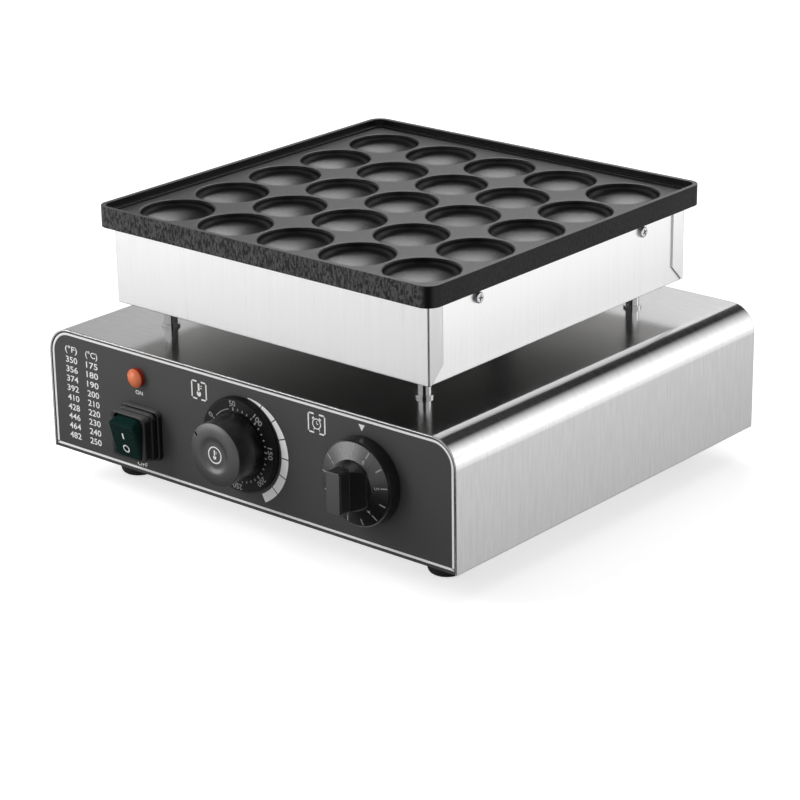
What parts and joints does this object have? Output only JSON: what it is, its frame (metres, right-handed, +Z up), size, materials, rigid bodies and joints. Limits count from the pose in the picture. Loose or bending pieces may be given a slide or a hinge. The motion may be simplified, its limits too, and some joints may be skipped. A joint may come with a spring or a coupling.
{
  "type": "mini pancake maker",
  "caption": "Countertop mini pancake maker: a square cast plate with round moulds on a steel box, raised on posts over a wide base with a timer, a thermostat, a switch and a lamp.",
  "frame": {"origin": "centre of the bounding box in plan, on the surface that the feet stand on", "axes": "+X to the user's right, +Y from the control panel to the back, +Z up"},
  "size_m": [0.326, 0.348, 0.179],
  "materials": {
    "plate_iron": "satin",
    "box_steel": "satin",
    "base_steel": "satin",
    "panel_paint": "matte",
    "post_steel": "polished",
    "zinc": "satin",
    "inner_steel": "satin",
    "insulation": "matte",
    "copper": "satin",
    "wire_sleeve": "matte",
    "ceramic": "matte",
    "dial_black": "matte",
    "knob_black": "satin",
    "switch_black": "matte",
    "boot_rubber": "matte",
    "foot_rubber": "matte",
    "rocker_green": "gloss",
    "lamp_orange": "gloss",
    "gland_nylon": "matte"
  },
  "bodies": {
    "cooker": {"baking_plate": "plate_iron", "box_tray": "box_steel", "box_front_cover": "box_steel", "box_rear_cover": "box_steel", "box_screws": "zinc", "heating_element": "inner_steel", "element_clamp": "inner_steel", "clamp_studs": "zinc", "clamp_nuts": "zinc", "heat_reflector": "inner_steel", "insulation_pad": "insulation", "sensor_bulb": "copper", "capillary_tube": "copper", "element_leads": "wire_sleeve", "control_wires": "wire_sleeve", "post_front_left": "post_steel", "post_front_right": "post_steel", "post_rear_left": "post_steel", "post_rear_right": "post_steel", "post_washers": "post_steel", "post_bolts": "zinc", "post_nuts": "zinc", "wire_conduit": "zinc", "conduit_nuts": "zinc", "base_wrap": "base_steel", "front_panel": "panel_paint", "back_panel": "base_steel", "bottom_plate": "base_steel", "bottom_screws": "zinc", "foot_front_left": "foot_rubber", "foot_front_right": "foot_rubber", "foot_rear_left": "foot_rubber", "foot_rear_right": "foot_rubber", "foot_screws": "zinc", "thermostat_body": "ceramic", "thermostat_screws": "zinc", "temperature_dial": "dial_black", "timer_body": "inner_steel", "timer_screws": "zinc", "switch_body": "switch_black", "switch_boot": "boot_rubber", "lamp_lens": "lamp_orange", "lamp_body": "switch_black", "lamp_nut": "zinc", "terminal_block": "ceramic", "terminal_screws": "zinc", "gland_body": "gland_nylon", "gland_cap": "gland_nylon", "gland_seal": "foot_rubber", "gland_locknut": "gland_nylon"},
    "temperature_knob": {"temperature_knob": "knob_black", "thermostat_shaft": "zinc"},
    "timer_knob": {"timer_knob": "knob_black", "timer_shaft": "zinc"},
    "rocker": {"rocker": "rocker_green"}
  },
  "joints": [
    {"name": "temperature_turn", "type": "hinge", "parent": "cooker", "child": "temperature_knob", "pos_m": [0, -0.146, 0.06], "axis": [0, 1, 0], "range_deg": [0, 285]},
    {"name": "timer_turn", "type": "hinge", "parent": "cooker", "child": "timer_knob", "pos_m": [0.096, -0.146, 0.0615], "axis": [0, 1, 0], "range_deg": [0, 332]},
    {"name": "rocker_tilt", "type": "hinge", "parent": "cooker", "child": "rocker", "pos_m": [-0.083, -0.1565, 0.0485], "axis": [-1, 0, 0], "range_deg": [0, 30]}
  ]
}
